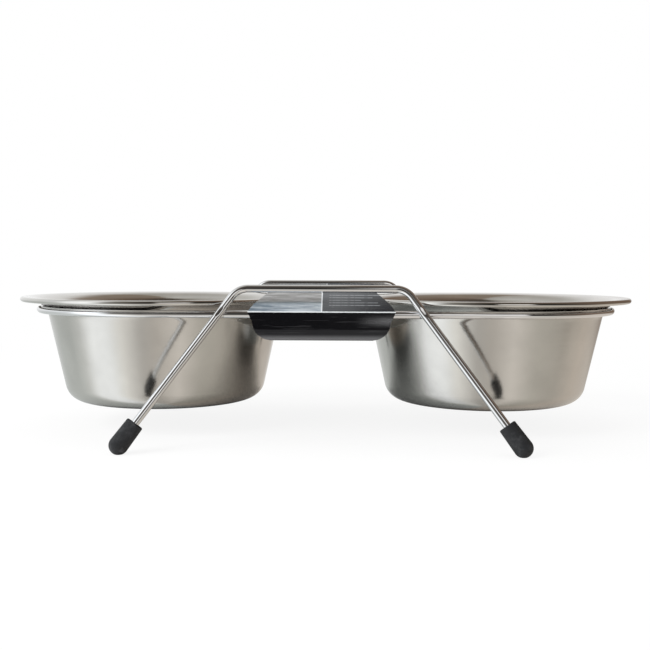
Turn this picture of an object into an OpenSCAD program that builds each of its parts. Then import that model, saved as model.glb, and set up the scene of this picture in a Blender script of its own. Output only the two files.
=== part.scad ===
// Double pet bowl: two pressed steel bowls that drop into a bent wire stand on rubber feet.
// Millimetres. +X runs from the left bowl to the right bowl, the front faces -Y, +Z is up.
// The origin is on the floor, under the middle of the stand.

/* [Bowls] */
// Diameter of a bowl over its rolled rim
rim_d = 180; // [165:1:195]
// Height of a bowl from its base to the top of its rim
bowl_h = 66; // [52:1:72]
// Angle of the wall from upright
wall_taper = 12.4; // [8:0.2:16]
// Thickness of the steel sheet
sheet_t = 0.7; // [0.5:0.1:1]
// Diameter of the rolled bead round the rim
bead_d = 3; // [2.4:0.1:3.6]
// Width of the flat lip between the flared neck and the bead
lip_w = 0.5; // [0.3:0.1:2]
// Radius of the flare from the wall out to the rim, on its underside
neck_r = 15.5; // [12:0.5:17]
// Radius of the corner between base and wall, outside
base_corner_r = 12; // [8:0.5:16]
// Gap between the rims of the two bowls
rim_space = 25; // [20:1:35]

/* [Stand] */
// Diameter of the wire
wire_d = 4.4; // [3.6:0.2:5]
// Height of the centre of the wire loop above the floor
loop_h = 75; // [70:0.2:86]
// Place round the flare where the loop carries a bowl, measured from level
seat_angle = 40; // [34:1:46]
// Gap between a bowl and the loop that carries it
seat_gap = 0.3; // [0.2:0.05:0.4]
// Height of the raised top bar above the loop, centre to centre
bar_rise = 14.5; // [13:0.5:20]
// Half the straight length of the top bar
bar_half = 41.4; // [38:0.2:45]
// Radius of the bend between top bar and leg, at the centre of the wire
leg_bend_r = 11; // [8:0.5:13]
// Depth to which the wires sink into each other where they are welded
weld_sink = 0.4; // [0.2:0.05:0.6]

/* [Feet] */
// Diameter of a rubber foot at its mouth
foot_mouth_d = 10; // [9:0.2:12]
// Diameter of a rubber foot at its round end
foot_d = 10.8; // [9.6:0.2:13]
// Length of a rubber foot along the leg
foot_len = 20; // [16:0.5:24]
// Radius of the rounded edge at the mouth of a foot
foot_edge_r = 0.8; // [0.5:0.1:1.2]
// Height of the flat that each foot wears against the floor
foot_flat = 0.4; // [0.2:0.05:0.6]
// Gap between a leg and the bore of its foot
foot_fit = 0.02; // [0.01:0.01:0.05]
// Depth of rubber between the end of a leg and the round end of its foot
foot_solid = 6; // [4:0.5:8]

/* [Card sleeve] */
// Thickness of the card
card_t = 0.5; // [0.4:0.05:0.8]
// Gap between the card and the wires that it wraps
card_gap = 0.3; // [0.2:0.05:0.5]
// Width of the sleeve along its front crease
card_w = 83; // [70:1:90]
// Width of the straight strip under the bowls
card_strip_w = 58; // [48:1:62]
// Width of the top panel at its ridge
card_ridge_w = 58; // [48:1:64]
// Depth of the front face below its crease
card_drop = 15.4; // [12:0.2:18]
// Slope of the top panel where it climbs from the crease
card_slope = 30; // [24:1:34]
// Distance that the sloping panel reaches in from the crease
card_climb = 18.6; // [14:0.2:20]
// Gap between the card and the rims that lift past it
card_clear = 1.2; // [0.8:0.1:2]
// Radius of the folds of the card, inside
card_fold_r = 0.8; // [0.4:0.1:1.5]

/* [Hidden] */
$fn = 96;

// Overrun of every cut past the face that it opens
cut_over = 1;
// Points along a bend of the bowl's section, and round its bead
bend_steps = 12;
bead_steps = 20;
// Points along a small rounded corner
corner_steps = 6;
// Run of a leg outwards as a share of its fall, seen square to its wire
leg_run_share = 0.7067;
// Run of a leg wire's plane out from the loop as a share of its fall, so that the feet stand wide
leg_splay_share = 7 / 24;

wire_r = wire_d / 2;
bead_r = bead_d / 2;
rim_r = rim_d / 2;
foot_r = foot_d / 2;
bowl_pitch = rim_d + rim_space;
bowl_x = bowl_pitch / 2;

// Centre of the flare in the bowl's section, from the axis and from the base
neck_x = rim_r - bead_r - lip_w;
neck_z = bowl_h - sheet_t - neck_r;
// Radius at which the outside of the straight wall would meet the base
base_r = neck_x - neck_r / cos(wall_taper) - neck_z * tan(wall_taper);

// The loop lies in the hollow of the flare, so the bowl's place follows from the loop's
seat_r = neck_r - wire_r - seat_gap;
loop_r = neck_x - seat_r * cos(seat_angle);
base_h = loop_h - seat_r * sin(seat_angle) - neck_z;

// Each leg wire lies in a plane that leans against the outside of the loop's straight side,
// and turns about the line where it touches. Heights in that plane count from this line.
leg_splay = atan(leg_splay_share);
leg_y = loop_r + (wire_d - weld_sink) / cos(leg_splay);
bar_up = bar_rise / cos(leg_splay);
leg_lean = atan(leg_run_share);
bend_end_x = bar_half + leg_bend_r * cos(leg_lean);
bend_end_up = bar_up - leg_bend_r * (1 - sin(leg_lean));
// Centre of a foot's round end, which stands on the floor
foot_h = foot_r - foot_flat;
leg_fall = (loop_h - foot_h) / cos(leg_splay);
foot_x = bend_end_x + (bend_end_up + leg_fall) * leg_run_share;
foot_y = leg_y + leg_fall * sin(leg_splay);
leg_to_foot = (bend_end_up + leg_fall) / cos(leg_lean);
leg_end = foot_solid - foot_r;

// Section of the sleeve: its inner corners from the front crease round to the ridge
card_in_y = loop_r + wire_r + card_gap;
crease_h = loop_h + (wire_r + card_gap) * (1 - sin(card_slope)) / cos(card_slope);
ridge_y = card_in_y - card_climb;
ridge_h = crease_h + card_climb * tan(card_slope);
strip_h = crease_h - card_drop;
// Shares of the front outline's rounded corners and shoulders
corner_share = 0.75;
waist_share = 0.93;
shoulder_share = 0.36;

function arc(centre, r, from, to, steps) =
    [for (i = [0 : steps]) let (a = from + (to - from) * i / steps) centre + r * [cos(a), sin(a)]];

function unit(v) = v / norm(v);

// An outline that runs anticlockwise, with each corner turned by an arc of radius r
function rounded(points, r) = [
    for (i = [0 : len(points) - 1])
        let (
            corner = points[i],
            before = unit(points[(i + len(points) - 1) % len(points)] - corner),
            after = unit(points[(i + 1) % len(points)] - corner),
            half = acos(before * after) / 2,
            centre = corner + unit(before + after) * r / sin(half),
            start = corner + before * r / tan(half) - centre,
            from = atan2(start.y, start.x))
        each arc(centre, r, from, from + 180 - 2 * half, corner_steps)];

// Right half of an outline, listed from top to bottom, joined to its mirror image
function both_sides(right) =
    concat(right, [for (i = [len(right) - 1 : -1 : 0]) [-right[i].x, right[i].y]]);

// Half section of a bowl: up the outside, round the bead, and back down the inside
function bowl_section() = let (
        corner = [base_r - base_corner_r * (1 - sin(wall_taper)) / cos(wall_taper), base_corner_r],
        neck = [neck_x, neck_z],
        bead = [rim_r - bead_r, bowl_h - bead_r],
        meet = 180 - asin((bead_r - sheet_t) / bead_r))
    concat(
        [[0, 0]],
        arc(corner, base_corner_r, -90, -wall_taper, bend_steps),
        arc(neck, neck_r, 180 - wall_taper, 90, bend_steps),
        arc(bead, bead_r, meet, 450, bead_steps),
        arc(neck, neck_r + sheet_t, 90, 180 - wall_taper, bend_steps),
        arc(corner, base_corner_r - sheet_t, -wall_taper, -90, bend_steps),
        [[0, sheet_t]]);

module bowl(side) {
    translate([side * bowl_x, 0, base_h])
        rotate_extrude() polygon(bowl_section());
}

module left_bowl() {
    color("silver") bowl(-1);
}

module right_bowl() {
    color("silver") bowl(1);
}

// A racetrack of one wire: two straight sides joined by half rings round the bowls
module frame_loop() {
    color("gainsboro") translate([0, 0, loop_h]) {
        for (side = [-1, 1])
            translate([0, side * loop_r, 0]) rotate([0, 90, 0])
                cylinder(h = bowl_pitch, r = wire_r, center = true, $fn = 32);
        for (turn = [0, 180])
            rotate([0, 0, turn]) translate([bowl_x, 0, 0]) rotate([0, 0, -90])
                rotate_extrude(angle = 180) translate([loop_r, 0]) circle(r = wire_r, $fn = 32);
    }
}

// Puts what is drawn in a front leg wire's own plane in its place
module in_leg_plane() {
    translate([0, -leg_y, loop_h]) rotate([-leg_splay, 0, 0]) children();
}

// One leg, from the end of the top bar: the bend, which is a quarter ring cut where the leg begins,
// and the straight run down into the foot. A core inside the wire runs through each end of the bend,
// so that the bend and the straight runs overlap and don't only touch.
module bent_leg() {
    translate([bar_half, 0, -leg_bend_r]) rotate([90, 0, 0]) {
        difference() {
            rotate_extrude(angle = 90) translate([leg_bend_r, 0]) circle(r = wire_r, $fn = 32);
            rotate([0, 0, leg_lean]) translate([0, -2 * leg_bend_r, -wire_d])
                cube([2 * leg_bend_r, 2 * leg_bend_r, 2 * wire_d]);
        }
        rotate([0, 0, leg_lean]) translate([leg_bend_r, 0, 0]) rotate([90, 0, 0])
            cylinder(h = leg_to_foot + leg_end, r = wire_r, $fn = 32);
        for (end = [leg_lean, 90])
            rotate([0, 0, end]) translate([leg_bend_r, 0, 0]) rotate([90, 0, 0])
                cylinder(h = wire_d, r = wire_r / 2, center = true, $fn = 32);
    }
}

module leg_wire() {
    color("gainsboro") in_leg_plane() translate([0, 0, bar_up]) {
        rotate([0, 90, 0])
            cylinder(h = 2 * bar_half, r = wire_r, center = true, $fn = 32);
        bent_leg();
        mirror([1, 0, 0]) bent_leg();
    }
}

module front_leg_wire() {
    leg_wire();
}

module rear_leg_wire() {
    mirror([0, 1, 0]) leg_wire();
}

// Half section of a foot along its leg: round end at the bottom, bored mouth at the top
function foot_section() = let (
        top = foot_len - foot_r,
        bore = wire_r + foot_fit,
        edge = [foot_mouth_d / 2 - foot_edge_r, top - foot_edge_r])
    concat(
        arc([0, 0], foot_r, -90, 0, bend_steps),
        arc(edge, foot_edge_r, 0, 90, corner_steps),
        [[bore, top], [bore, -leg_end], [0, -leg_end]]);

// A front right foot in its place, cut flat where it stands on the floor
module foot() {
    color("dimgray") difference() {
        in_leg_plane() translate([foot_x, 0, -leg_fall]) rotate([0, -leg_lean, 0])
            rotate_extrude($fn = 48) polygon(foot_section());
        translate([foot_x - foot_d, -foot_y - foot_d, -foot_d])
            cube([2 * foot_d, 2 * foot_d, foot_d]);
    }
}

module front_right_foot() {
    foot();
}

module front_left_foot() {
    mirror([1, 0, 0]) foot();
}

module rear_right_foot() {
    mirror([0, 1, 0]) foot();
}

module rear_left_foot() {
    mirror([0, 1, 0]) mirror([1, 0, 0]) foot();
}

// The wrap seen from its end, out from its inner faces: a box on the wires with a hipped top
module wrap_outline(out) {
    side_y = card_in_y + out;
    low = strip_h - out;
    crease = crease_h + out * (1 - sin(card_slope)) / cos(card_slope);
    ridge = [ridge_y + out * (1 - cos(card_slope)) / sin(card_slope), ridge_h + out];
    polygon(rounded([
        [-side_y, low],
        [side_y, low],
        [side_y, crease],
        ridge,
        [-ridge.x, ridge.y],
        [-side_y, crease]], card_fold_r + out));
}

// Front outline: widest at the crease, drawn in to the strip below and to the ridge above
function card_front() = let (
        half = card_w / 2,
        strip = card_strip_w / 2,
        low = strip_h - card_t,
        high = ridge_h + card_t,
        corner = (half - strip) * corner_share,
        waist = half * waist_share,
        shoulder_h = crease_h + (high - crease_h) * shoulder_share)
    both_sides(concat(
        [[card_ridge_w / 2, high + cut_over], [waist, shoulder_h], [half, crease_h]],
        arc([waist - corner, strip_h + corner], corner, 0, -90, corner_steps),
        [[strip, low - cut_over]]));

module card_sleeve() {
    color("slategray") difference() {
        intersection() {
            rotate([90, 0, 90]) linear_extrude(card_w, center = true) difference() {
                wrap_outline(card_t);
                wrap_outline(0);
            }
            rotate([90, 0, 0]) linear_extrude(2 * (card_in_y + card_t + cut_over), center = true)
                polygon(card_front());
        }
        for (side = [-1, 1])
            translate([side * bowl_x, 0, crease_h])
                cylinder(h = ridge_h, r = rim_r + card_clear);
    }
}

left_bowl();
right_bowl();
frame_loop();
front_leg_wire();
rear_leg_wire();
front_left_foot();
front_right_foot();
rear_left_foot();
rear_right_foot();
card_sleeve();
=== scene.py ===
import math

import bpy
import numpy as np
from bpy.props import FloatProperty, FloatVectorProperty, IntProperty, PointerProperty
from mathutils import Matrix, Vector


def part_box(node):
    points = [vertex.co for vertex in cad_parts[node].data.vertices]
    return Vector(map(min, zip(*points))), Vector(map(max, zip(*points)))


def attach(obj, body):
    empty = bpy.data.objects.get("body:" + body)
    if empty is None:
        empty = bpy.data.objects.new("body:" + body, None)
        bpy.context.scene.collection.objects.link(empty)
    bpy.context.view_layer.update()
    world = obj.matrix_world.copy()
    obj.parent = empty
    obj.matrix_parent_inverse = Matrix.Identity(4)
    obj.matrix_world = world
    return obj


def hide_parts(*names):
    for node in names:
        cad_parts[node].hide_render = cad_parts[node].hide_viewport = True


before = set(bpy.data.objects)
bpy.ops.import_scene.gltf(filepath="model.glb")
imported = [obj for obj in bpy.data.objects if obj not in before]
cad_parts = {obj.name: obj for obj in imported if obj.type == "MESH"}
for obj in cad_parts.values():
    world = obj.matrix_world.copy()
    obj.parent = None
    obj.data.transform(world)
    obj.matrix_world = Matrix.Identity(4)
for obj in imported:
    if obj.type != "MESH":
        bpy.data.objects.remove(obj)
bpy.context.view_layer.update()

bl_info = {
    "name": "Double pet bowl",
    "version": (1, 0, 0),
    "blender": (4, 5, 0),
    "location": "3D View > Sidebar > Pet bowl",
    "description": "Dresses the packed double pet bowl: steel bowls, chrome stand, rubber feet, card sleeve",
    "category": "Add Mesh",
}

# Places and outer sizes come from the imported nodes, in metres.
BOWL_LOW, BOWL_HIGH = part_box("right_bowl")
LOOP_LOW, LOOP_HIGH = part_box("frame_loop")
LEG_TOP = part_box("front_leg_wire")[1].z
CARD_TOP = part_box("card_sleeve")[1].z
RIM_RADIUS = (BOWL_HIGH.x - BOWL_LOW.x) / 2
BOWL_X = (BOWL_HIGH.x + BOWL_LOW.x) / 2
WIRE_RADIUS = (LOOP_HIGH.z - LOOP_LOW.z) / 2
LOOP_Z = (LOOP_HIGH.z + LOOP_LOW.z) / 2
LOOP_RADIUS = LOOP_HIGH.y - WIRE_RADIUS
BAR_RISE = LEG_TOP - WIRE_RADIUS - LOOP_Z
MM = 0.001

# Small details: the loop's butt weld, the flat of the welding tip, the ends of the legs in the feet, and the
# card's gap to the wire, its sag and the points in each of its folds.
BUTT_X, BUTT_SWELL, BUTT_WIDTH = 0.022, 0.10 * MM, 0.9 * MM
TIP_RADIUS = 3.2 * MM
LEG_REACH, BORE_GAP = 0.6 * MM, 0.02 * MM
CARD_GAP, CARD_SAG, CARD_SAG_REACH = 0.3 * MM, 0.5 * MM, 0.062
FOLD_POINTS = 7

# The picture's side in pixels and the camera's sensor in millimetres.
FRAME, SENSOR = 650.0, 36.0


def colour(name, description, default):
    return FloatVectorProperty(name=name, description=description, default=default,
                               subtype="COLOR", size=3, min=0.0, max=1.0)


def length(name, description, default):
    return FloatProperty(name=name, description=description, default=default,
                         unit="LENGTH", precision=5)


def share(name, description, default):
    return FloatProperty(name=name, description=description, default=default,
                         subtype="FACTOR", min=0.0, max=1.0)


def degrees(name, description, default):
    return FloatProperty(name=name, description=description, default=math.radians(default),
                         subtype="ANGLE")


class BowlSettings(bpy.types.PropertyGroup):
    """Sizes and finish of the two steel bowls."""
    rim_radius: length("Rim radius", "Radius over the rolled rim", RIM_RADIUS)
    height: length("Height", "From the base to the top of the rim", BOWL_HIGH.z - BOWL_LOW.z)
    taper: degrees("Taper", "Lean of the wall from upright", 12.4)
    sheet: length("Sheet", "Thickness of the steel", 0.7 * MM)
    bead: length("Bead", "Diameter of the rolled edge", 3.0 * MM)
    lip: length("Lip", "Flat between the flare and the bead", 0.5 * MM)
    flare: length("Flare", "Radius of the flare under the rim", 15.5 * MM)
    corner: length("Corner", "Radius between base and wall", 12.0 * MM)
    around: IntProperty(name="Faces round", description="Faces round a bowl", default=288, min=24)
    steel: colour("Steel", "Colour of the stainless sheet", (0.60, 0.585, 0.56))
    satin: share("Satin", "Roughness of the pressed wall", 0.135)
    polish: share("Polish", "Roughness of the rolled rim", 0.07)


class StandSettings(bpy.types.PropertyGroup):
    """Sizes and finish of the wire stand."""
    wire_radius: length("Wire radius", "Radius of the wire", WIRE_RADIUS)
    bar: length("Half bar", "Half the straight length of a top bar", 41.4 * MM)
    rise: length("Rise", "Height of a top bar above the loop", BAR_RISE)
    run: share("Run", "Run of a leg outwards as a share of its fall, seen square to its wire", 0.7067)
    splay: share("Splay", "Run of a leg wire's plane out from the loop as a share of its fall", 7 / 24)
    bend: length("Bend", "Radius of the bends of the leg wires", 11.0 * MM)
    sink: length("Sink", "Depth to which the welded wires sink into each other", 0.4 * MM)
    weld_flat: length("Weld flat", "Depth of the flat that the welding tip leaves", 0.28 * MM)
    around: IntProperty(name="Faces round", description="Faces round the wire", default=32, min=8)
    chrome: colour("Chrome", "Colour of the plated wire", (0.78, 0.78, 0.79))
    polish: share("Polish", "Roughness of the plating", 0.06)


class FootSettings(bpy.types.PropertyGroup):
    """Sizes and finish of the rubber feet."""
    mouth_radius: length("Mouth radius", "Radius at the open end", 5.0 * MM)
    radius: length("Radius", "Radius of the round end", 5.4 * MM)
    long: length("Length", "Length along the leg", 20.0 * MM)
    edge: length("Edge", "Rounded edge of the mouth", 0.8 * MM)
    flat: length("Flat", "Height of the worn flat under the foot", 0.4 * MM)
    rubber: colour("Rubber", "Colour of the rubber", (0.017, 0.018, 0.020))


class SleeveSettings(bpy.types.PropertyGroup):
    """Sizes and colours of the folded card sleeve."""
    thickness: length("Card", "Thickness of the card", 0.5 * MM)
    width: length("Width", "Width along the front crease", 83.0 * MM)
    strip: length("Strip", "Width of the strip under the bowls", 58.0 * MM)
    ridge: length("Ridge", "Width at the ridge of the top panel", 58.0 * MM)
    fold: length("Fold", "Radius of the folds, inside", 0.8 * MM)
    clear: length("Clear", "Gap to the rims that lift past", 1.2 * MM)
    slope: degrees("Slope", "Slope of the panel above the crease", 30.0)
    climb: length("Climb", "How far the sloping panel reaches in", 18.6 * MM)
    drop: length("Drop", "Depth of the face below the crease", 15.4 * MM)
    ink: colour("Ink", "Colour of the printed face below the creases", (0.003, 0.003, 0.004))
    streaks: colour("Streaks", "Lightest colour of the left field", (0.46, 0.50, 0.53))
    charcoal: colour("Charcoal", "Lightest colour of the right field", (0.135, 0.142, 0.150))
    rule: colour("Rule", "Colour of the rule between the fields", (0.62, 0.64, 0.66))
    board: colour("Board", "Colour of the bare card", (0.80, 0.79, 0.76))


class StudioSettings(bpy.types.PropertyGroup):
    """Camera, floor and light."""
    camera_place: FloatVectorProperty(name="Camera", description="Place of the camera", size=3,
                                      subtype="XYZ", unit="LENGTH", default=(0.01276, -0.5962, 0.10303))
    camera_yaw: degrees("Yaw", "Turn of the view to the right", -1.2)
    camera_pitch: degrees("Pitch", "Fall of the view", 3.736)
    camera_roll: degrees("Roll", "Roll of the view", 0.19)
    focal: FloatProperty(name="Lens", description="Focal length in pixels of the picture",
                         default=924.7, min=1.0)
    floor: colour("Floor", "Colour of the floor", (0.94, 0.94, 0.94))
    shadow: share("Shadow", "How much of the stand's shadow the camera sees", 0.12)
    key_power: FloatProperty(name="Key", description="Power of the window light in watts",
                             default=15.0, min=0.0)
    fill_power: FloatProperty(name="Fill", description="Power of the top light in watts",
                              default=6.0, min=0.0)


# Meshes

def put_object(name, data):
    """An object of this data in the scene."""
    thing = bpy.data.objects.new(name, data)
    bpy.context.scene.collection.objects.link(thing)
    return thing


def put_mesh(name, points, faces, uv=None, slots=None, sharp=50.0):
    """One mesh object at the origin from arrays: points (n, 3), faces (m, 4) with -1 as the fourth for a
    triangle, uv (m, 4, 2), slots (m). Faces are turned so that the enclosed volume is positive. Edges
    sharper than sharp, in degrees, stay sharp."""
    four = faces[:, 3] >= 0
    last = np.where(four, faces[:, 3], faces[:, 2])
    a, b, c, d = points[faces[:, 0]], points[faces[:, 1]], points[faces[:, 2]], points[last]
    volume = (np.cross(a, b) * c).sum() + (np.cross(a, c) * d).sum()
    order = np.tile(np.arange(4), (len(faces), 1))
    if volume < 0:
        order = np.where(four[:, None], order[:, ::-1], [2, 1, 0, 3])
    turned = np.take_along_axis(faces, order, 1)
    keep = turned >= 0
    mesh = bpy.data.meshes.new(name)
    mesh.vertices.add(len(points))
    mesh.vertices.foreach_set("co", points.astype(np.float32).ravel())
    counts = np.where(four, 4, 3)
    mesh.loops.add(int(counts.sum()))
    mesh.loops.foreach_set("vertex_index", turned[keep].astype(np.int32))
    mesh.polygons.add(len(faces))
    mesh.polygons.foreach_set("loop_start", (np.cumsum(counts) - counts).astype(np.int32))
    if uv is not None:
        layer = mesh.uv_layers.new(name="Along")
        spread = np.take_along_axis(uv, order[:, :, None].repeat(2, 2), 1)
        layer.data.foreach_set("uv", spread[keep].astype(np.float32).ravel())
    mesh.polygons.foreach_set("use_smooth", np.ones(len(faces), bool))
    if slots is not None:
        mesh.polygons.foreach_set("material_index", slots.astype(np.int32))
    mesh.update(calc_edges=True)
    mesh.set_sharp_from_angle(angle=math.radians(sharp))
    mesh.validate()
    return put_object(name, mesh)


def grid_faces(rows, columns, close_rows, close_columns):
    """Quads of a rows by columns grid of points, each direction closed or open, and the row and the column
    of each quad."""
    r = np.arange(rows if close_rows else rows - 1)
    c = np.arange(columns if close_columns else columns - 1)
    r, c = (x.ravel() for x in np.meshgrid(r, c, indexing="ij"))
    r1, c1 = (r + 1) % rows, (c + 1) % columns
    return np.stack([r * columns + c, r1 * columns + c, r1 * columns + c1, r * columns + c1], 1), r, c


def pole_faces(count, around):
    """Triangles that close the first and the last ring of a grid of count points. Their poles are the two
    points that follow the grid's."""
    k = np.arange(around)
    k1 = (k + 1) % around
    last = count - around
    none = np.full(around, -1)
    return np.concatenate([np.stack([np.full(around, count), k1, k, none], 1),
                           np.stack([np.full(around, count + 1), last + k, last + k1, none], 1)])


def grid_uv(row_value, column_value, r, c):
    """UV of each corner of the quads: the row's value is V and the column's is U. Both lists have one more
    entry than their closed direction has points, so that a seam keeps its own values."""
    corners = ((r, c), (r + 1, c), (r + 1, c + 1), (r, c + 1))
    return np.stack([np.stack([column_value[j], row_value[i]], 1) for i, j in corners], 1)


def along(points):
    """Arc length from the first point of a polyline to each of its points."""
    steps = np.linalg.norm(np.diff(points, axis=0), axis=1)
    return np.concatenate([[0.0], np.cumsum(steps)])


def turn_profile(name, profile, around, place):
    """A profile of (radius, height) that starts and ends on its axis, turned about it: point(angle, k) =
    (radius_k cos angle, radius_k sin angle, height_k), passed through place. U is the share of the turn
    and V the length along the profile. Both ends close in one point."""
    inner = profile[1:-1]
    angle = 2 * np.pi * np.arange(around) / around
    ring = np.stack([inner[:, 0, None] * np.cos(angle), inner[:, 0, None] * np.sin(angle),
                     np.repeat(inner[:, 1, None], around, 1)], 2)
    poles = np.array([[0, 0, profile[0, 1]], [0, 0, profile[-1, 1]]])
    faces, r, c = grid_faces(len(inner), around, False, True)
    travel = along(profile)
    turn = np.arange(around + 1) / around
    middle = (turn[:-1] + turn[1:]) / 2

    def fan(pole, rim, before, after):
        corners = ((middle, pole), (before, rim), (after, rim), (middle, pole))
        return np.stack([np.stack([u, np.full(around, v)], 1) for u, v in corners], 1)

    uv = np.concatenate([grid_uv(travel[1:-1], turn, r, c),
                         fan(travel[0], travel[1], turn[1:], turn[:-1]),
                         fan(travel[-1], travel[-2], turn[:-1], turn[1:])])
    points = np.concatenate([ring.reshape(-1, 3), poles])
    faces = np.concatenate([faces, pole_faces(len(inner) * around, around)])
    return put_mesh(name, place(points), faces, uv)


def arc(centre, radius, start, end, steps):
    """Points on a circle from one angle to another in degrees, both ends included."""
    a = np.radians(np.linspace(start, end, steps + 1))
    return np.stack([centre[0] + radius * np.cos(a), centre[1] + radius * np.sin(a)], 1)


def line(start, end, steps):
    """Points between two ends, without the ends."""
    t = np.linspace(0, 1, steps + 1)[1:-1, None]
    return np.asarray(start, float) * (1 - t) + np.asarray(end, float) * t


def without_doubles(points, least=1e-7):
    """The polyline without points that repeat the one before."""
    keep = np.concatenate([[True], np.linalg.norm(np.diff(points, axis=0), axis=1) > least])
    return points[keep]


def swept_wire(name, path, side, radius, around, closed):
    """A round wire along a path in one plane: point(s, a) = path(s) + r(s, a) (cos a n(s) + sin a side),
    where n is the path's normal in its plane and side the plane's own normal. radius takes arrays of length
    and angle. U is the share of the turn and V the length along the wire. An open wire has flat ends."""
    side = np.asarray(side, float)
    ahead = np.roll(path, -1, 0) - np.roll(path, 1, 0)
    if not closed:
        ahead[0], ahead[-1] = path[1] - path[0], path[-1] - path[-2]
    ahead /= np.linalg.norm(ahead, axis=1)[:, None]
    normal = np.cross(ahead, side)
    travel = along(np.concatenate([path, path[:1]]) if closed else path)
    angle = 2 * np.pi * np.arange(around) / around
    r = radius(travel[:len(path), None], angle)[:, :, None]
    ring = path[:, None] + r * (np.cos(angle)[:, None] * normal[:, None] + np.sin(angle)[:, None] * side)
    faces, row, column = grid_faces(len(path), around, closed, True)
    uv = grid_uv(travel, np.arange(around + 1) / around, row, column)
    points = ring.reshape(-1, 3)
    if not closed:
        faces = np.concatenate([faces, pole_faces(len(points), around)])
        points = np.concatenate([points, path[:1], path[-1:]])
        ends = np.zeros((2 * around, 4, 2))
        ends[around:, :, 1] = travel[-1]
        uv = np.concatenate([uv, ends])
    return put_mesh(name, points, faces, uv)


# Shapes of the pieces

def bowl_profile(s):
    """Section of a bowl, from the middle of the base up the outside, under the lip, round inside and outside
    the hollow rolled edge, and down the inside. Straight parts and arcs meet at tangents."""
    base_steps, corner_steps, wall_steps, flare_steps, hollow_steps, bead_steps = 8, 18, 10, 26, 22, 36
    curled = -168
    taper = math.degrees(s.taper)
    bead = s.bead / 2
    neck = (s.rim_radius - bead - s.lip, s.height - s.sheet - s.flare)
    foot = neck[0] - s.flare / math.cos(s.taper) - neck[1] * math.tan(s.taper)
    corner = (foot - s.corner * (1 - math.sin(s.taper)) / math.cos(s.taper), s.corner)
    edge = (s.rim_radius - bead, s.height - bead)
    low = arc(corner, s.corner, -90, -taper, corner_steps)
    high = arc(neck, s.flare, 180 - taper, 90, flare_steps)
    inner_high = arc(neck, s.flare + s.sheet, 90, 180 - taper, flare_steps)
    inner_low = arc(corner, s.corner - s.sheet, -taper, -90, corner_steps)
    return without_doubles(np.concatenate([
        [[0.0, 0.0]], line((0, 0), low[0], base_steps), low, line(low[-1], high[0], wall_steps), high,
        arc(edge, bead - s.sheet, 90, curled, hollow_steps), arc(edge, bead, curled, 90, bead_steps),
        inner_high, line(inner_high[-1], inner_low[0], wall_steps), inner_low,
        line(inner_low[-1], (0, s.sheet), base_steps), [[0.0, s.sheet]]]))


def make_bowl(s, name, x):
    """One bowl in its place over its base."""
    place = np.array([x, 0.0, BOWL_LOW.z])
    return turn_profile(name, bowl_profile(s), s.around, lambda points: points + place)


def loop_path():
    """Centre line of the racetrack: two straight sides at the loop's radius from the middle, two half
    circles."""
    side_steps, turn_steps = 180, 150
    straight = np.linspace(-BOWL_X, BOWL_X, side_steps + 1)[:-1]
    turn = np.radians(np.linspace(-90, 90, turn_steps + 1))[:-1]
    front = np.stack([straight, np.full(side_steps, -LOOP_RADIUS)], 1)
    right = np.stack([BOWL_X + LOOP_RADIUS * np.cos(turn), LOOP_RADIUS * np.sin(turn)], 1)
    half = np.concatenate([front, right])
    both = np.concatenate([half, -half])
    return np.concatenate([both, np.full((len(both), 1), LOOP_Z)], 1)


def make_loop(s):
    """The loop wire, with a slight swelling where its two ends are welded together at the rear: the radius
    grows there by a bell curve of the length along the wire."""
    path = loop_path()
    weld = along(path)[np.argmin(np.abs(path[:, 0] - BUTT_X) + (path[:, 1] < 0))]

    def radius(travel, angle):
        return s.wire_radius + BUTT_SWELL * np.exp(-((travel - weld) / BUTT_WIDTH) ** 2)

    return swept_wire("loop_wire", path, (0, 0, 1), radius, s.around, True)


class LegPlane:
    """The plane of the front leg wire. It leans out against the loop and turns about the line where it is
    level with the loop; across and up are places in it, and the rear wire's plane is its mirror image."""

    def __init__(self, s):
        splay, self.lean = math.atan(s.splay), math.atan(s.run)
        self.up = np.array([0.0, math.sin(splay), math.cos(splay)])
        self.outward = np.array([0.0, -math.cos(splay), math.sin(splay)])
        self.along = np.array([math.sin(self.lean), -math.cos(self.lean)])
        self.y = LOOP_RADIUS + (2 * s.wire_radius - s.sink) / math.cos(splay)
        self.bar = s.rise / math.cos(splay)
        bend_end = np.array([s.bar + s.bend * math.cos(self.lean),
                             self.bar - s.bend * (1 - math.sin(self.lean))])
        foot = bpy.context.scene.pet_foot
        fall = (LOOP_Z - foot.radius + foot.flat) / math.cos(splay) + bend_end[1]
        self.foot = bend_end + self.along * fall / math.cos(self.lean)
        touch = (self.y - LOOP_RADIUS) * math.sin(splay)
        self.contact = bend_end + self.along * (bend_end[1] - touch) / math.cos(self.lean)

    def place(self, points):
        """Points in the plane as points in space."""
        points = np.atleast_2d(points)
        middle, across = np.array([0.0, -self.y, LOOP_Z]), np.array([1.0, 0.0, 0.0])
        return middle + points[:, :1] * across + points[:, 1:] * self.up


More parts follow.
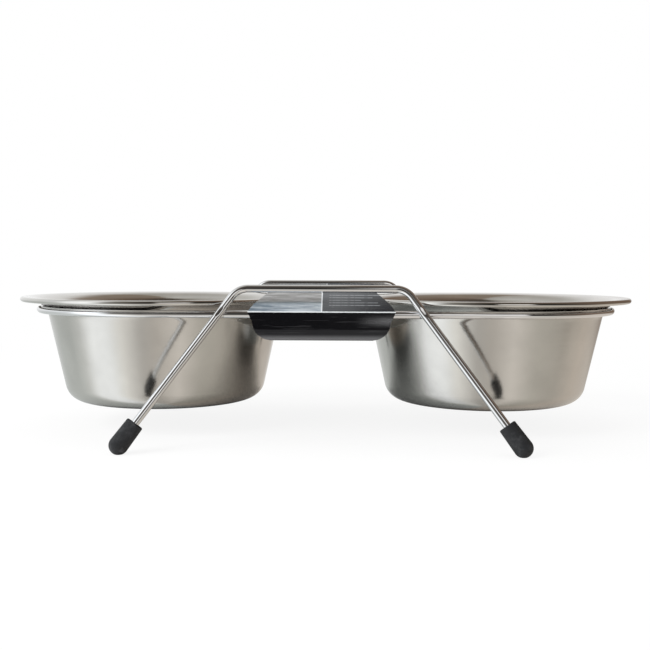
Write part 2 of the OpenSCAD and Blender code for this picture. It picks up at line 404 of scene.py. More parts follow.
def make_leg_wire(s, name, side):
    """A leg wire at the front (side -1) or rear (side 1): toe, leg, bend, bar and the same mirrored. Where a
    leg crosses the loop, the welding tip has pressed a shallow flat into the outer side: the radius is cut
    back to the flat's plane there."""
    leg_steps, bend_steps, bar_steps = 190, 24, 90
    plane = LegPlane(s)
    toe = plane.foot + plane.along * LEG_REACH
    bend = arc((s.bar, plane.bar - s.bend), s.bend, math.degrees(plane.lean), 90, bend_steps)
    right = np.concatenate([[toe], line(toe, bend[0], leg_steps), bend])
    bar = line(right[-1], (-s.bar, plane.bar), bar_steps)
    flat = np.concatenate([right, bar, right[::-1] * np.array([-1.0, 1.0])])
    mirror = np.array([1.0, -side, 1.0])
    path = plane.place(flat) * mirror
    total = along(path)[-1]
    cross = np.linalg.norm(toe - plane.contact)

    def radius(travel, angle):
        near = np.minimum(np.abs(travel - cross), np.abs(total - travel - cross))
        depth = s.weld_flat * np.clip(1 - (near / TIP_RADIUS) ** 4, 0, 1)
        facing = np.maximum(np.sin(angle), 0.001)
        return np.minimum(s.wire_radius, (s.wire_radius - depth) / facing)

    return swept_wire(name, path, plane.outward * mirror, radius, s.around, False)


def make_weld_metal(s):
    """Four collars of melted metal between leg wire and loop: each a squashed ball whose radius ripples,
    point(a, b) = centre + size (1 + ripple) (cos a cos b, sin a cos b, sin b)."""
    rows, columns = 23, 36
    size = np.array([2.75, 1.35, 2.75])
    plane = LegPlane(s)
    spot = plane.place(plane.contact)[0] - plane.outward * (s.wire_radius - s.sink / 2)
    spot[1] *= -1.0
    b = np.linspace(-np.pi / 2, np.pi / 2, rows + 2)[1:-1]
    a = 2 * np.pi * np.arange(columns) / columns
    b, a = np.meshgrid(b, a, indexing="ij")
    ball = np.stack([np.cos(a) * np.cos(b), np.sin(a) * np.cos(b), np.sin(b)], 2)
    poles = np.array([[0, 0, -1], [0, 0, 1]]) * size * MM
    quads, _, _ = grid_faces(rows, columns, False, True)
    collar = np.concatenate([quads[:, [0, 3, 2, 1]], pole_faces(rows * columns, columns)[:, [0, 2, 1, 3]]])
    points, faces = [], []
    for number, (sx, sy) in enumerate([(-1, -1), (1, -1), (-1, 1), (1, 1)]):
        ripple = (1 + 0.06 * np.sin(3 * a + number) * np.cos(b) ** 2
                  + 0.04 * np.sin(5 * a + 4 * b + 2 * number) * np.cos(b))
        shape = (ball * ripple[:, :, None] * size * MM).reshape(-1, 3)
        points.append(np.concatenate([shape, poles]) + spot * np.array([sx, sy, 1.0]))
        faces.append(np.where(collar < 0, -1, collar + number * len(points[0])))
    return put_mesh("weld_metal", np.concatenate(points), np.concatenate(faces))


def foot_profile(s):
    """Section of a foot along its leg, centred on its round end: round end, side drawn in to the mouth,
    rounded edge, a shallow dish round the wire, and the bore down to the end of the wire."""
    soft, wide, deep = 0.05 * MM, 0.45 * MM, 0.5 * MM
    top = s.long - s.radius
    bore = WIRE_RADIUS + BORE_GAP
    edge = (s.mouth_radius - s.edge, top - s.edge)
    return without_doubles(np.concatenate([
        arc((0, 0), s.radius, -90, 0, 26), line((s.radius, 0), (s.mouth_radius, edge[1]), 14),
        arc(edge, s.edge, 0, 90, 8), [[bore + wide, top - soft], [bore + soft, top - wide]],
        line((bore, top - deep), (bore, -LEG_REACH), 6), [[bore, -LEG_REACH], [0.0, -LEG_REACH]]]))


def make_foot(s, name, side_x, side_y):
    """A foot on its leg's end: the profile turned about the leg, and flattened where it meets the floor. The
    sides are 1 on the right and at the front, and -1 for the mirror images."""
    plane = LegPlane(bpy.context.scene.pet_stand)
    centre = plane.place(plane.foot)[0]
    up = plane.place(-plane.along)[0] - plane.place((0.0, 0.0))[0]
    side = plane.outward
    across = np.cross(side, up)

    def place(points):
        put = centre + points[:, :1] * across + points[:, 1:2] * side + points[:, 2:] * up
        put[:, 2] = np.maximum(put[:, 2], 0.0)
        return put * np.array([side_x, side_y, 1.0])

    return turn_profile(name, foot_profile(s), 96, place)


def crease_height(s):
    """Height of the creases, where the sloping panel and the face meet outside the wire with its gap."""
    return LOOP_Z + (WIRE_RADIUS + CARD_GAP) * (1 - math.sin(s.slope)) / math.cos(s.slope)


def sleeve_section(s, out):
    """The wrap seen from its end, out from its inner faces: corners turned by arcs, clockwise from the front
    crease over the top. Returns points (y, height) with the same count whatever out is."""
    steps = (18, 60, 18, 14, 64, 14)
    slope, crease = s.slope, crease_height(s)
    inner_y = LOOP_RADIUS + WIRE_RADIUS + CARD_GAP
    side, low = inner_y + out, crease - s.drop - out
    top = crease + out * (1 - math.sin(slope)) / math.cos(slope)
    ridge = inner_y - s.climb + out * (1 - math.cos(slope)) / math.sin(slope)
    peak = crease + s.climb * math.tan(slope) + out
    corners = np.array([(-side, top), (-ridge, peak), (ridge, peak), (side, top), (side, low), (-side, low)])
    radius = s.fold + out
    folds = []
    for corner, before, after in zip(corners, np.roll(corners, 1, 0), np.roll(corners, -1, 0)):
        before, after = before - corner, after - corner
        before, after = before / np.linalg.norm(before), after / np.linalg.norm(after)
        half = math.acos(float(before @ after)) / 2
        centre = corner + (before + after) / np.linalg.norm(before + after) * radius / math.sin(half)
        start = corner + before * radius / math.tan(half) - centre
        a = math.atan2(start[1], start[0]) - np.linspace(0, math.pi - 2 * half, FOLD_POINTS)
        folds.append(centre + radius * np.stack([np.cos(a), np.sin(a)], 1))
    return np.concatenate([np.concatenate([fold, line(fold[-1], ahead[0], count)])
                           for fold, ahead, count in zip(folds, folds[1:] + folds[:1], steps)])


def sleeve_half_width(s, y, z):
    """Half the card's width where its section is at (y, z): the front outline, and above the crease no
    nearer to either rim than the gap, which is an arc of a circle about the bowl's axis."""
    crease = crease_height(s)
    low = crease - s.drop
    high = crease + s.climb * math.tan(s.slope) + s.thickness
    half, strip = s.width / 2, s.strip / 2
    waist, corner = half * 0.93, (half - strip) * 0.75
    shoulder = crease + (high - crease) * 0.36
    above = np.interp(z, [crease, shoulder, high + 1 * MM], [half, waist, s.ridge / 2])
    round_z = np.clip(z - low - corner, -corner, 0)
    rounded = waist - corner + np.sqrt(np.maximum(corner ** 2 - round_z ** 2, 0))
    straight = np.interp(z, [low + corner, crease], [waist, half])
    below = np.where(z > low + corner, straight, np.where(z > low, rounded, strip))
    reach = s.clear + RIM_RADIUS
    near = BOWL_X - np.sqrt(np.maximum(reach ** 2 - y ** 2, 0))
    return np.where(z > crease, np.minimum(above, near), below)


def make_sleeve(s):
    """The card: its section's points at (x, y, z) with x from -w to w, w being the half width there, outside
    and inside faces a card's thickness apart. U is x in metres. V is the length round the section from the
    middle of the front crease in metres: it grows over the top and is negative on the front face, and its
    jump lies in the middle of the underside."""
    outside, inside = sleeve_section(s, s.thickness), sleeve_section(s, 0.0)
    middle = (outside + inside) / 2
    width = sleeve_half_width(s, middle[:, 0], middle[:, 1])
    sag = sleeve_sag(middle)
    shares = np.linspace(-1, 1, 41)

    def sheet(section, shares):
        x = width[:, None] * shares[None, :]
        lift = sag[:, None] * (1 - shares[None, :] ** 2)
        return np.stack([x, np.repeat(section[:, :1], len(shares), 1), section[:, 1:] + lift], 2)

    ring = np.concatenate([sheet(outside, shares), sheet(inside, shares[::-1])], 1)
    rows, columns = ring.shape[:2]
    faces, r, c = grid_faces(rows, columns, True, True)
    travel = along(np.concatenate([outside, outside[:1]]))
    x_of = np.pad(ring[:, :, 0], ((0, 1), (0, 1)), mode="wrap")
    under_middle = rows * 0.77
    start = travel[FOLD_POINTS // 2] + travel[-1] * (r > under_middle)
    here, ahead = travel[r] - start, travel[r + 1] - start
    corners = ((r, c, here), (r + 1, c, ahead), (r + 1, c + 1, ahead), (r, c + 1, here))
    uv = np.stack([np.stack([x_of[i, j], v], 1) for i, j, v in corners], 1)
    bare = c >= len(shares) - 1
    return put_mesh("sleeve_card", ring.reshape(-1, 3), faces, uv, slots=bare, sharp=35)


def sleeve_sag(section):
    """How far the middle of the card hangs below its cut edges on the long top panel, in metres: a squared
    cosine of the place from front to back."""
    panel = section[:, 1] > CARD_TOP - 1.2 * MM
    place = np.clip(section[:, 0] / CARD_SAG_REACH, -1, 1)
    return np.where(panel, -CARD_SAG * np.cos(place * np.pi / 2) ** 2, 0.0)


# Materials

class Socket:
    """An output of a node. Arithmetic on it adds Math nodes, so that a formula reads as one."""

    def __init__(self, socket):
        self.socket = socket

    def _math(self, operation, left, right):
        tree = self.socket.id_data
        node = tree.nodes.new("ShaderNodeMath")
        node.operation = operation
        for place, value in zip(node.inputs, (left, right)):
            if isinstance(value, Socket):
                tree.links.new(value.socket, place)
            else:
                place.default_value = value
        return Socket(node.outputs[0])

    def __add__(self, other):
        return self._math("ADD", self, other)

    __radd__ = __add__

    def __sub__(self, other):
        return self._math("SUBTRACT", self, other)

    def __rsub__(self, other):
        return self._math("SUBTRACT", other, self)

    def __mul__(self, other):
        return self._math("MULTIPLY", self, other)

    __rmul__ = __mul__

    def __truediv__(self, other):
        return self._math("DIVIDE", self, other)

    def __rtruediv__(self, other):
        return self._math("DIVIDE", other, self)


class Finish:
    """A new material or world and its nodes."""

    def __init__(self, owner):
        owner.use_nodes = True
        self.owner, self.tree = owner, owner.node_tree
        self.tree.nodes.clear()

    def add(self, kind, settings=None, sockets=None, output=0):
        """One output of a new node of that type, with its settings and its sockets' values or links."""
        node = self.tree.nodes.new("ShaderNode" + kind)
        for key, value in (settings or {}).items():
            if key == "stops":
                ramp = node.color_ramp.elements
                while len(ramp) < len(value):
                    ramp.new(0.5)
                for stop, (place, tint) in zip(ramp, value):
                    stop.position, stop.color = place, (*tint, 1.0)
            else:
                setattr(node, key, value)
        for key, value in (sockets or {}).items():
            if isinstance(value, Socket):
                self.tree.links.new(value.socket, node.inputs[key])
            elif isinstance(value, (tuple, list)) and node.inputs[key].type == "RGBA" and len(value) == 3:
                node.inputs[key].default_value = (*value, 1.0)
            else:
                node.inputs[key].default_value = value
        return Socket(node.outputs[output]) if node.outputs else None

    def place(self):
        """The place on the piece, in metres."""
        return self.add("TexCoord", output=3)

    def along(self):
        """The piece's own UV map, whose V is a length along the piece in metres."""
        return self.add("UVMap", {"uv_map": "Along"})

    def parts(self, vector):
        """The three numbers of a vector."""
        node = self.add("SeparateXYZ", sockets={0: vector}).socket.node
        return [Socket(o) for o in node.outputs]

    def ease(self, value, low, high):
        """0 below low, 1 above high and a smooth step between; low may be the greater."""
        return self.add("MapRange", {"interpolation_type": "SMOOTHSTEP"}, {0: value, 1: low, 2: high})

    def band(self, value, low, high, soft):
        """1 between low and high, 0 outside, with soft edges."""
        return self.ease(value, low - soft, low + soft) * self.ease(value, high + soft, high - soft)

    def noise(self, vector, scale, detail, rough, stretch=None):
        """Smooth noise from 0 to 1, drawn out along the axes whose stretch is small."""
        if stretch:
            vector = self.add("VectorMath", {"operation": "MULTIPLY"}, {0: vector, 1: stretch})
        return self.add("TexNoise", None, {"Vector": vector, "Scale": scale, "Detail": detail,
                                           "Roughness": rough})

    def tint(self, factor, first, second):
        """A mix of two colours."""
        return self.add("Mix", {"data_type": "RGBA"}, {0: factor, 6: first, 7: second}, output=2)

    def function(self, operation, *values):
        """One Math node for an operation that has no sign of its own."""
        return self.add("Math", {"operation": operation}, dict(enumerate(values)))

    def surface(self, tone, rough, height, strength, distance, metallic=0.0, specular=0.5):
        """Ends the material in one shader with a bump of that height, strength and distance."""
        bump = self.add("Bump", None, {"Strength": strength, "Distance": distance, "Height": height})
        shader = self.add("BsdfPrincipled", None, {
            "Base Color": tone, "Metallic": metallic, "Roughness": rough, "Specular IOR Level": specular,
            "Normal": bump})
        self.add("OutputMaterial", None, {0: shader})
        return self.owner


def shaded(tone, by=1.0):
    """A colour darkened or lightened by a factor."""
    return tuple(min(1.0, c * by) for c in tone)


def steel_finish(s, name, centre_x):
    """Pressed stainless sheet: a satin wall with fine spinning marks and a slight grain, and a bright rim.
    Inside, below the flare, the wall is calmer and a little duller."""
    f = Finish(bpy.data.materials.new(name))
    here = f.add("VectorMath", {"operation": "SUBTRACT"}, {0: f.place(), 1: (centre_x, 0.0, 0.0)})
    _, travel, _ = f.parts(f.along())
    x, y, z = f.parts(here)
    radius = f.function("SQRT", x * x + y * y) + 0.001
    ring = f.add("CombineXYZ", None, {0: x / radius * 0.6, 1: y / radius * 0.6, 2: travel * 900.0})
    spun = f.noise(ring, 1.0, 3.0, 0.6)
    cloud = f.noise(here, 38.0, 3.0, 0.55)
    grain = f.noise(here, 1500.0, 2.0, 0.6)
    wave = f.noise(here, 60.0, 2.0, 0.5, (1, 1, 0.35))
    top = BOWL_HIGH.z
    rim = f.ease(z, top - 5.0 * MM, top - 2.6 * MM)
    bead = along(bowl_profile(s))[-1] / 2
    inner = (f.ease(travel, bead + 4.0 * MM, bead + 8.0 * MM)
             * f.ease(z, top - 11.0 * MM, top - 18.0 * MM))
    tone = f.tint(f.ease(cloud, 0.3, 0.75), shaded(s.steel, 0.94), shaded(s.steel, 1.05))
    rough = s.satin + (cloud - 0.5) * 0.07 + (spun - 0.5) * 0.05 + inner * 0.06
    rough = rough * (1 - rim) + rim * s.polish
    height = (spun * 0.35 + grain * 0.3) * (1 - inner * 0.8) + wave
    return f.surface(tone, rough, height, 0.06, 0.0006, metallic=1.0)


def chrome_finish(s):
    """Bright plating over drawn wire: faint lines along the wire and a few dull specks."""
    f = Finish(bpy.data.materials.new("bright_plating"))
    drawn = f.noise(f.along(), 1.0, 2.0, 0.5, (46.0, 22.0, 1.0))
    dull = f.ease(f.noise(f.place(), 900.0, 1.0, 0.5), 0.70, 0.78)
    tone = f.tint(dull, shaded(s.chrome), shaded(s.chrome, 0.8))
    rough = s.polish + (drawn - 0.5) * 0.04 + dull * 0.12
    return f.surface(tone, rough, drawn, 0.03, 0.0004, metallic=1.0)


def weld_finish(s):
    """Plated weld metal: uneven, a little duller than the wire."""
    f = Finish(bpy.data.materials.new("plated_weld"))
    lump = f.noise(f.place(), 1400.0, 3.0, 0.6)
    tone = f.tint(lump, shaded(s.chrome, 0.7), shaded(s.chrome))
    return f.surface(tone, 0.16 + lump * 0.12, lump, 0.35, 0.0003, metallic=1.0)


def rubber_finish(s):
    """Moulded rubber: fine grain over shallow unevenness, faint dust in patches, scuffs at the floor."""
    f = Finish(bpy.data.materials.new("moulded_rubber"))
    spot = f.place()
    _, _, z = f.parts(spot)
    grain = f.noise(spot, 2600.0, 3.0, 0.65)
    patch = f.noise(spot, 260.0, 3.0, 0.6)
    scuff = f.ease(patch, 0.52, 0.70) * f.ease(z, 6.0 * MM, 1.0 * MM)
    dust = f.ease(patch, 0.45, 0.8) * 0.35 + f.ease(grain, 0.62, 0.8) * 0.18
    tone = f.tint(dust + scuff * 0.5, shaded(s.rubber), (0.085, 0.085, 0.090))
    return f.surface(tone, 0.50 + patch * 0.2, grain + patch * 0.8, 0.55, 0.0004, specular=0.35)


def print_finish(s):
    """The printed side of the card, in a plain design. Over the top lies a field of two tones left of the
    middle, streaked grey-blue along the creases and grey further in, and right of it a charcoal field with
    pale bars of several lengths; a pale rule parts the two. Below the creases the face is black, with small
    scuffs towards the right, a painted reflection that lightens its lower part a little, a painted highlight
    along the lower edge where the card curls under, and faint painted glints. The creases have cracked
    white."""
    f = Finish(bpy.data.materials.new("printed_card"))
    uv = f.along()
    x, v, _ = f.parts(uv)
    slope_end = s.climb / math.cos(s.slope)
    back = 2 * (LOOP_RADIUS + WIRE_RADIUS + CARD_GAP - s.climb) + 2 * slope_end
    over = f.band(v, 0.0, back + 0.001, 0.00012)
    fold = f.function("MINIMUM", f.function("ABSOLUTE", v), f.function("ABSOLUTE", v - back))
    up = f.function("MINIMUM", v, back - v)
    # The field on the left
    streak = f.noise(uv, 1.0, 5.0, 0.62, (60.0, 420.0, 1.0))
    broad = f.noise(uv, 1.0, 2.0, 0.5, (26.0, 90.0, 1.0))
    fade = f.ease(x, -38 * MM, -2 * MM) * 0.5 + (broad - 0.5) * 0.9
    outer = f.tint(f.ease(streak * 0.8 + fade * 0.5, 0.28, 0.80), (0.060, 0.095, 0.130), shaded(s.streaks))
    inner = f.tint(f.ease(streak, 0.30, 0.72), (0.20, 0.20, 0.195), (0.36, 0.36, 0.36))
    left = f.tint(f.ease(up + (broad - 0.5) * 3 * MM, 8.6 * MM, 11.0 * MM), outer, inner)
    seam = f.band(up + (streak - 0.5) * 2 * MM, 8.6 * MM, 10.4 * MM, 0.5 * MM)
    left = f.tint(seam * 0.6, left, (0.12, 0.15, 0.16))
    # The field on the right and its bars
    sheen = f.noise(uv, 1.0, 3.0, 0.6, (18.0, 300.0, 1.0))
    pale = f.ease(x, 40.0 * MM, 6.0 * MM) * 0.55 + f.ease(up, 2.0 * MM, 15.0 * MM) * 0.45
    right = f.tint(pale * 0.85 + (sheen - 0.5) * 0.5, (0.012, 0.014, 0.018), shaded(s.charcoal))
    pitch = 2.7 * MM
    across = f.function("PINGPONG", up, pitch / 2)
    uneven = f.noise(uv, 1.0, 1.0, 0.5, (420.0, 0.0, 1.0))
    number = f.function("FLOOR", up / pitch)
    extra = f.add("TexWhiteNoise", {"noise_dimensions": "1D"}, {"W": number})
    bar = (f.ease(across, 0.95 * MM, 1.10 * MM) * f.ease(x, 4.0 * MM, 4.4 * MM)
           * f.ease(x - extra * 0.012, 22.4 * MM, 22.0 * MM)
           * f.band(up, 5.5 * MM, 19.0 * MM, 0.2 * MM) * (0.55 + f.ease(uneven, 0.42, 0.5) * 0.45))
    right = f.tint(bar * 0.6, right, (0.36, 0.38, 0.40))
    field = f.tint(f.ease(x, -0.05 * MM, 0.05 * MM), left, right)
    field = f.tint(f.band(x, -0.35 * MM, 0.35 * MM, 0.1 * MM), field, shaded(s.rule))
    # The black face and the creases
    worn = f.noise(f.place(), 700.0, 4.0, 0.7)
    rub = f.noise(uv, 1.0, 4.0, 0.7, (2600.0, 4400.0, 1.0))
    scuffed = (f.ease(rub, 0.44, 0.66) * f.ease(x + (broad - 0.5) * 12.0 * MM, 18.0 * MM, 38.0 * MM)
               * f.band(fold, 3.4 * MM, 7.0 * MM, 2.4 * MM))
    glint = f.noise(uv, 1.0, 3.0, 0.6, (30.0, 700.0, 1.0))
    # Painted light on the black face: a faint painted reflection on its lower part, a painted highlight
    # along the lower edge where the card curls under, and faint painted glints.
    painted_lower_light = (f.ease(fold + (glint - 0.5) * 0.6 * MM, 9.7 * MM, 10.3 * MM) * 0.03
           + f.band(fold, 13.8 * MM, 17.5 * MM, 1.5 * MM) * 0.24 + f.band(glint, 0.60, 0.9, 0.03) * 0.03)
    # The grey holds real scuffs and worn specks together with the painted light of the lower face.
    grey = scuffed * 0.75 + f.ease(worn, 0.72, 0.84) * 0.10 + painted_lower_light
    black = f.tint(grey, shaded(s.ink), (0.42, 0.42, 0.43))
    crack = f.ease(fold + (worn - 0.5) * 0.35 * MM, 0.42 * MM, 0.24 * MM)
    tone = f.tint(crack, f.tint(over, black, field), (0.66, 0.69, 0.70))
    rough = 0.26 + (1 - over) * -0.05 + crack * 0.35 + scuffed * 0.3 + (worn - 0.5) * 0.1
    flute = f.noise(uv, 1.0, 2.0, 0.5, (55.0, 160.0, 1.0))
    return f.surface(tone, rough, flute + rub * 0.05 + worn * 0.04, 0.22, 0.0007, specular=0.24)


def board_finish(s):
    """The bare side and the cut edges of the card: pale pulp with short fibres."""
    f = Finish(bpy.data.materials.new("bare_board"))
    spot = f.place()
    fibre = f.noise(spot, 1.0, 4.0, 0.7, (500.0, 1800.0, 1800.0))
    cloud = f.noise(spot, 120.0, 2.0, 0.5)
    pulp = f.ease(fibre + (cloud - 0.5) * 0.4, 0.35, 0.8)
    return f.surface(f.tint(pulp, shaded(s.board, 0.84), shaded(s.board)), 0.85, fibre, 0.3, 0.0002)


# Operators

def plating(context):
    """The chrome material, made once."""
    return bpy.data.materials.get("bright_plating") or chrome_finish(context.scene.pet_stand)


def dress(thing, body, slot, *materials):
    """Gives a piece its materials and its body; the slot is not used."""
    for material in materials:
        thing.data.materials.append(material)
    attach(thing, body)
    return thing


class PET_OT_bowls(bpy.types.Operator):
    """Add the two pressed steel bowls"""
    bl_idname = "pet.bowls"
    bl_label = "Steel bowls"

    def execute(self, context):
        s = context.scene.pet_bowl
        for side, x in (("left", -BOWL_X), ("right", BOWL_X)):
            bowl = make_bowl(s, side + "_bowl_shell", x)
            dress(bowl, side + "_bowl", "bowl_steel", steel_finish(s, side + "_satin_steel", x))
            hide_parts(side + "_bowl")
        return {"FINISHED"}


class PET_OT_loop(bpy.types.Operator):
    """Add the loop wire that carries the bowls"""
    bl_idname = "pet.loop"
    bl_label = "Loop wire"

    def execute(self, context):
        loop = make_loop(context.scene.pet_stand)
        dress(loop, "stand", "frame_chrome", plating(context))
        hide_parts("frame_loop")
        return {"FINISHED"}


class PET_OT_legs(bpy.types.Operator):
    """Add the two bent leg wires and the weld metal"""
    bl_idname = "pet.legs"
    bl_label = "Leg wires"

    def execute(self, context):
        s = context.scene.pet_stand
        for name, side in (("front_leg_wire", -1), ("rear_leg_wire", 1)):
            wire = make_leg_wire(s, name + "_bent", side)
            dress(wire, "stand", "frame_chrome", plating(context))
            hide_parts(name)
        dress(make_weld_metal(s), "stand", "frame_chrome", weld_finish(s))
        return {"FINISHED"}


class PET_OT_feet(bpy.types.Operator):
    """Add the four rubber feet"""
    bl_idname = "pet.feet"
    bl_label = "Rubber feet"

    def execute(self, context):
        s = context.scene.pet_foot
        rubber = rubber_finish(s)
        for name, side_x, side_y in (("front_right_foot", 1, 1), ("front_left_foot", -1, 1),
                                     ("rear_right_foot", 1, -1), ("rear_left_foot", -1, -1)):
            foot = make_foot(s, name + "_rubber", side_x, side_y)
            dress(foot, "stand", "foot_rubber", rubber)
            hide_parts(name)
        return {"FINISHED"}


class PET_OT_sleeve(bpy.types.Operator):
    """Add the folded card sleeve"""
    bl_idname = "pet.sleeve"
    bl_label = "Card sleeve"

    def execute(self, context):
        s = context.scene.pet_sleeve
        sleeve = dress(make_sleeve(s), "stand", "sleeve_card", print_finish(s), board_finish(s))
        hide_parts("card_sleeve")
        return {"FINISHED"}


class PET_OT_studio(bpy.types.Operator):
    """Add the floor, the lights, the surroundings and the camera"""
    bl_idname = "pet.studio"
    bl_label = "Studio"

    def execute(self, context):
        s = context.scene.pet_studio
        add_floor(s)
        add_surroundings(context.scene)
        add_lights(s)
        add_camera(context.scene, s)
        context.scene.view_settings.view_transform = "Standard"
        return {"FINISHED"}


# Studio

def add_floor(s):
    """A wide flat floor, white to the camera, which keeps the shadow under the stand: near the stand a share
    of the floor is matt, and the share fades to nothing further out. Polished metal sees the room's table
    through it, darkened smoothly where the stand and the bowls keep the light off."""
    half, matt_to, white_from, shade_reach = 40.0, 0.22, 0.65, 0.25
    points = [(-half, -half, 0), (half, -half, 0), (half, half, 0), (-half, half, 0)]
    mesh = bpy.data.meshes.new("floor")
    mesh.from_pydata(points, [], [(0, 1, 2, 3)])
    floor = put_object("floor", mesh)
    f = Finish(bpy.data.materials.new("pale_floor"))
    rays = f.add("LightPath").socket.node.outputs
    far = f.add("VectorMath", {"operation": "LENGTH"}, {0: f.place()}, output=1)
    glow = Socket(rays["Is Camera Ray"]) * (1 - s.shadow * f.ease(far, white_from, matt_to))
    matt = f.add("BsdfDiffuse", None, {"Color": tuple(s.floor)})
    white = f.add("Emission", None, {"Color": (1.0, 1.0, 1.0), "Strength": 1.0})
    lit = f.add("MixShader", None, {0: glow, 1: matt, 2: white})
    sky = f.add("AmbientOcclusion", {"samples": 8}, {"Distance": shade_reach}, output=1)
    dark = f.add("Emission", None, {"Strength": 0.0})
    clear = f.add("BsdfTransparent")
    table = f.add("MixShader", None, {0: f.ease(sky, 0.02, 0.62) * 0.86, 1: dark, 2: clear})
    ends = f.add("MixShader", None, {0: Socket(rays["Is Glossy Ray"]), 1: lit, 2: table})
    f.add("OutputMaterial", None, {0: ends})
    mesh.materials.append(f.owner)


def add_surroundings(scene):
    """White behind the object. What polished metal sees is a room, given in degrees of turn to the right of
    the camera's side and of rise above the horizon: a pale table below, walls that are dark on the camera's
    side and brown on the right, white behind, a dim ceiling, a window on the left and a lit doorway beside
    the camera. Matt surfaces see an even grey."""
    f = Finish(bpy.data.worlds.new("studio"))
    scene.world = f.owner
    x, y, z = f.parts(f.add("TexCoord", output=0))
    rays = f.add("LightPath").socket.node.outputs
    turn = f.function("ARCTAN2", x, y * -1.0) * (180 / math.pi)
    rise = f.function("ARCSINE", z) * (180 / math.pi)

    def tones(*stops):
        """Colours round the horizon, each a turn in degrees and a colour, with soft steps between them."""
        places = [((place + 180.0) / 360.0, tone) for place, tone in stops]
        return f.add("ValToRGB", {"stops": places}, {0: (turn + 180.0) / 360.0})

    table = tones((-180, (0.76, 0.79, 0.78)), (-104, (0.74, 0.78, 0.76)), (-84, (1.00, 1.03, 1.01)),
                  (-38, (1.30, 1.30, 1.25)), (-16, (0.74, 0.72, 0.68)), (0, (0.76, 0.72, 0.66)),
                  (24, (1.00, 0.95, 0.88)), (50, (0.72, 0.69, 0.62)), (80, (0.68, 0.64, 0.57)),
                  (110, (0.80, 0.72, 0.63)), (150, (0.80, 0.74, 0.67)))
    wall = tones((-180, (1.0, 1.0, 1.0)), (-90, (0.90, 0.93, 0.94)), (-46, (0.30, 0.29, 0.27)),
                 (-18, (0.12, 0.11, 0.10)), (-4, (0.035, 0.033, 0.030)), (50, (0.05, 0.045, 0.04)),
                 (92, (0.20, 0.145, 0.11)), (150, (0.20, 0.14, 0.10)), (168, (1.0, 1.0, 1.0)))
    ceiling = tones((-180, (0.52, 0.50, 0.46)), (-120, (0.72, 0.72, 0.70)), (-60, (0.50, 0.48, 0.44)),
                    (-20, (0.10, 0.085, 0.07)), (50, (0.12, 0.10, 0.085)), (110, (0.22, 0.165, 0.125)),
                    (150, (0.34, 0.28, 0.23)))
    skirting = rise - 10.0 * f.ease(f.function("ABSOLUTE", turn), 80.0, 108.0)
    room = f.tint(f.ease(skirting, -24.0, -12.0), table, wall)
    room = f.tint(f.ease(rise, 30.0, 56.0), room, ceiling)
    doorway = f.band(turn, 3.0, 30.0, 4.0) * f.band(rise, -8.0, 32.0, 4.0)
    room = f.tint(doorway, room, (0.95, 0.93, 0.90))
    window = f.band(turn, -80.0, -46.0, 10.0) * f.band(rise, -70.0, 58.0, 8.0)
    room = f.tint(window, room, (1.50, 1.55, 1.58))
    seen = f.tint(Socket(rays["Is Diffuse Ray"]), room, (0.58, 0.58, 0.58))
    seen = f.tint(Socket(rays["Is Camera Ray"]), seen, (1.0, 1.0, 1.0))
    f.add("OutputWorld", None, {0: f.add("Background", None, {"Color": seen})})


def add_lamp(name, place, aim, size, power):
    """A square soft light that matt surfaces see."""
    data = bpy.data.lights.new(name, "AREA")
    data.shape, data.size, data.energy = "SQUARE", size, power
    lamp = put_object(name, data)
    lamp.location = place
    lamp.rotation_mode = "QUATERNION"
    lamp.rotation_quaternion = (Vector(aim) - Vector(place)).to_track_quat("-Z", "Y")
    lamp.visible_glossy = False
    lamp.visible_camera = False


def add_lights(s):
    """A window light from the left and a top light."""
    add_lamp("window_light", (-0.95, -0.75, 0.75), (0.0, 0.0, 0.05), 0.7, s.key_power)
    add_lamp("top_light", (0.1, 0.1, 1.3), (0.0, 0.0, 0.0), 1.2, s.fill_power)


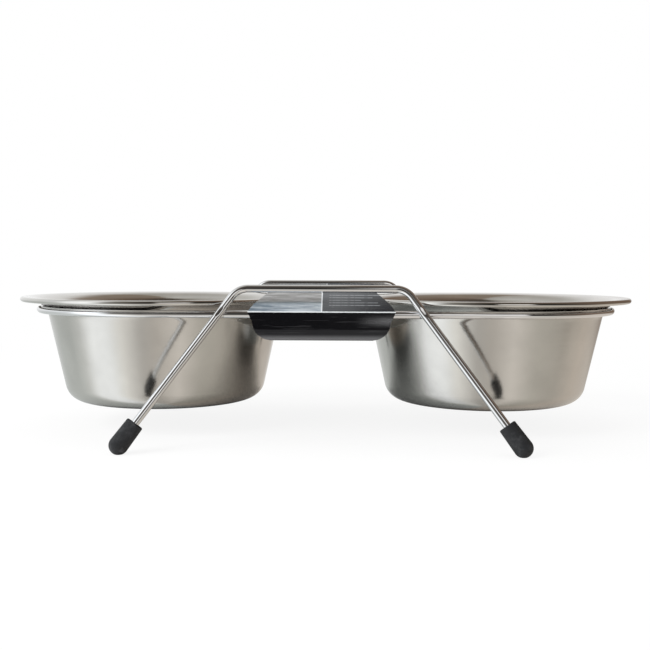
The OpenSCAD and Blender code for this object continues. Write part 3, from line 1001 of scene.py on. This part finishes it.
def add_camera(scene, s):
    """The camera at the photograph's place: columns of its matrix are right, up and back."""
    yaw, pitch, roll = s.camera_yaw, s.camera_pitch, s.camera_roll
    ahead = Vector((math.sin(yaw) * math.cos(pitch), math.cos(yaw) * math.cos(pitch), -math.sin(pitch)))
    level = Vector((math.cos(yaw), -math.sin(yaw), 0.0))
    over = level.cross(ahead)
    right = level * math.cos(roll) + over * math.sin(roll)
    up = over * math.cos(roll) - level * math.sin(roll)
    data = bpy.data.cameras.new("camera")
    data.sensor_width = SENSOR
    data.lens = s.focal * SENSOR / FRAME
    data.clip_start, data.clip_end = 0.01, 200.0
    camera = put_object("camera", data)
    axes = Matrix((right, up, -ahead)).transposed()
    camera.matrix_world = Matrix.Translation(s.camera_place) @ axes.to_4x4()
    scene.camera = camera


# Add-on

class PET_PT_panel(bpy.types.Panel):
    """The pieces of the pet bowl and the sizes and colours that they are made from"""
    bl_idname = "PET_PT_panel"
    bl_label = "Pet bowl"
    bl_space_type = "VIEW_3D"
    bl_region_type = "UI"
    bl_category = "Pet bowl"

    def draw(self, context):
        for operator, settings in OPERATORS.items():
            box = self.layout.box()
            box.operator(operator.bl_idname)
            if settings:
                group = getattr(context.scene, settings)
                for name in group.__annotations__:
                    box.prop(group, name)


SETTINGS = {"pet_bowl": BowlSettings, "pet_stand": StandSettings, "pet_foot": FootSettings,
            "pet_sleeve": SleeveSettings, "pet_studio": StudioSettings}
OPERATORS = {PET_OT_bowls: "pet_bowl", PET_OT_loop: None, PET_OT_legs: "pet_stand", PET_OT_feet: "pet_foot",
             PET_OT_sleeve: "pet_sleeve", PET_OT_studio: "pet_studio"}


def register():
    for name, group in SETTINGS.items():
        bpy.utils.register_class(group)
        setattr(bpy.types.Scene, name, PointerProperty(type=group))
    for operator in OPERATORS:
        bpy.utils.register_class(operator)
    bpy.utils.register_class(PET_PT_panel)


def unregister():
    bpy.utils.unregister_class(PET_PT_panel)
    for operator in reversed(OPERATORS):
        bpy.utils.unregister_class(operator)
    for name, group in SETTINGS.items():
        delattr(bpy.types.Scene, name)
        bpy.utils.unregister_class(group)


def main():
    register()
    for operator in OPERATORS:
        group, name = operator.bl_idname.split(".")
        getattr(getattr(bpy.ops, group), name)()


if __name__ == "__main__":
    main()
